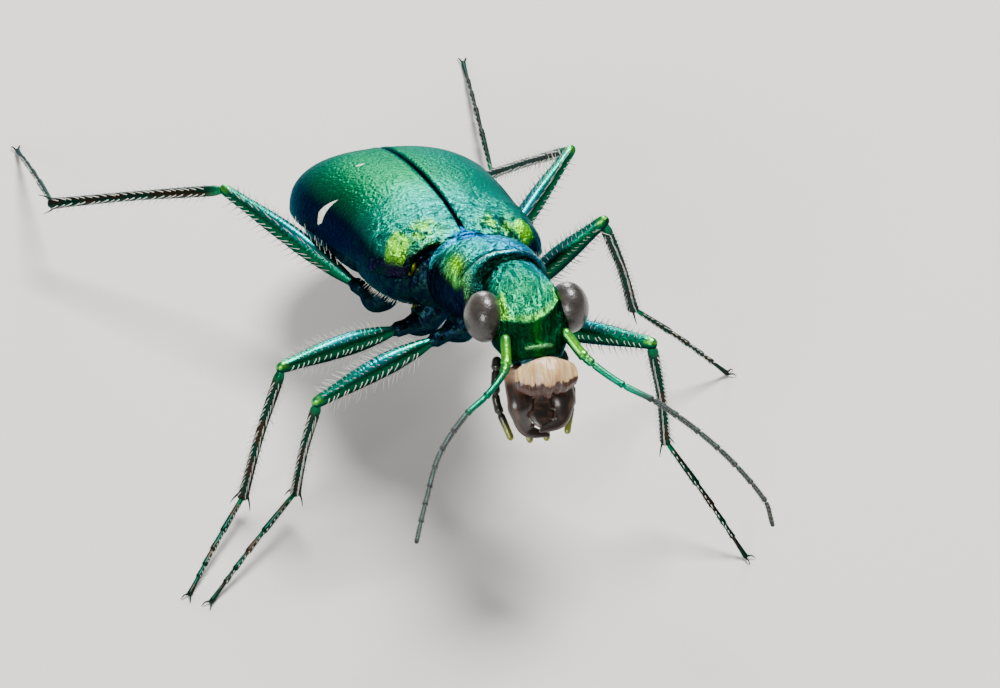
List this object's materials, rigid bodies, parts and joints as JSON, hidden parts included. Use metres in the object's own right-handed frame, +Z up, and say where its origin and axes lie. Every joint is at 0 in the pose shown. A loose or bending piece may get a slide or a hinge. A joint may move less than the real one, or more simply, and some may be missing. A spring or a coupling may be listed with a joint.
{
  "type": "six-spotted tiger beetle",
  "caption": "Life-size metallic green tiger beetle standing with its head raised, long thin legs spread, sickle jaws half open and feelers forward.",
  "frame": {"origin": "on the floor, under the middle of the whole animal's box", "axes": "+Z up, the head towards -Y, the animal's left towards +X"},
  "size_m": [0.0154, 0.0232, 0.0073],
  "materials": {
    "wing_case": "iridescent metallic green with fine pits",
    "pronotum": "iridescent blue-green, finely wrinkled",
    "head": "iridescent green, finely lined",
    "eye": "glossy grey brown",
    "ivory": "ivory with a brown toothed edge",
    "dark_jaw": "glossy brown black",
    "palp": "dark with a green shine",
    "feeler": "dull grey brown",
    "underside": "dark metallic blue green",
    "leg_green": "metallic green with pale bristles",
    "shin": "dark coppery green"
  },
  "bodies": {
    "root": {"elytron_left": "wing_case", "elytron_right": "wing_case", "pronotum": "pronotum", "scutellum": "pronotum", "head": "head", "antenna_scape_left": "head", "antenna_scape_right": "head", "eye_left": "eye", "eye_right": "eye", "labrum": "ivory", "mandible_left": "dark_jaw", "mandible_right": "dark_jaw", "maxillary_palp_left": "palp", "maxillary_palp_right": "palp", "labial_palp_left": "palp", "labial_palp_right": "palp", "antenna_flagellum_left": "feeler", "antenna_flagellum_right": "feeler", "thorax": "underside", "abdomen": "underside", "front_right_coxa": "underside", "front_right_femur": "leg_green", "front_right_tibia": "shin", "front_right_tarsus": "shin", "front_left_coxa": "underside", "front_left_femur": "leg_green", "front_left_tibia": "shin", "front_left_tarsus": "shin", "middle_right_coxa": "underside", "middle_right_femur": "leg_green", "middle_right_tibia": "shin", "middle_right_tarsus": "shin", "middle_left_coxa": "underside", "middle_left_femur": "leg_green", "middle_left_tibia": "shin", "middle_left_tarsus": "shin", "hind_right_coxa": "underside", "hind_right_femur": "leg_green", "hind_right_tibia": "shin", "hind_right_tarsus": "shin", "hind_left_coxa": "underside", "hind_left_femur": "leg_green", "hind_left_tibia": "shin", "hind_left_tarsus": "shin"}
  },
  "joints": []
}
